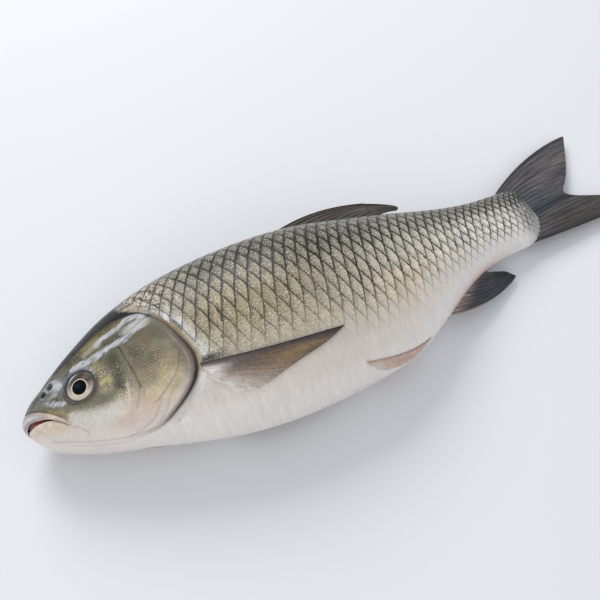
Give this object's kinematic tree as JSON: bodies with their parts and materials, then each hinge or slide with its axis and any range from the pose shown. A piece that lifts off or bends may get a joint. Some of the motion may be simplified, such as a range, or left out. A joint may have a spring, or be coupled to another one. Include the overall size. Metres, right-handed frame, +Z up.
{
  "type": "whole raw fish",
  "caption": "Whole raw freshwater fish with scaled flanks, lying on its right side, mouth slightly open, fins folded back and a forked tail.",
  "frame": {"origin": "on the surface that the fish lies on, under the middle of its bounding box", "axes": "+X from the snout towards the tail, +Y towards the fish's back, +Z up, out of its left side"},
  "size_m": [0.5168, 0.1484, 0.0677],
  "materials": {
    "scaled_skin": "wet scaled skin, olive and gold with dark scale edges above, silvery white belly, dark fins",
    "eye": "wet and clear, blue-black pupil in a pale silvery ring"
  },
  "bodies": {
    "root": {"fish": "scaled_skin", "eye_left": "eye", "eye_right": "eye"}
  },
  "joints": []
}
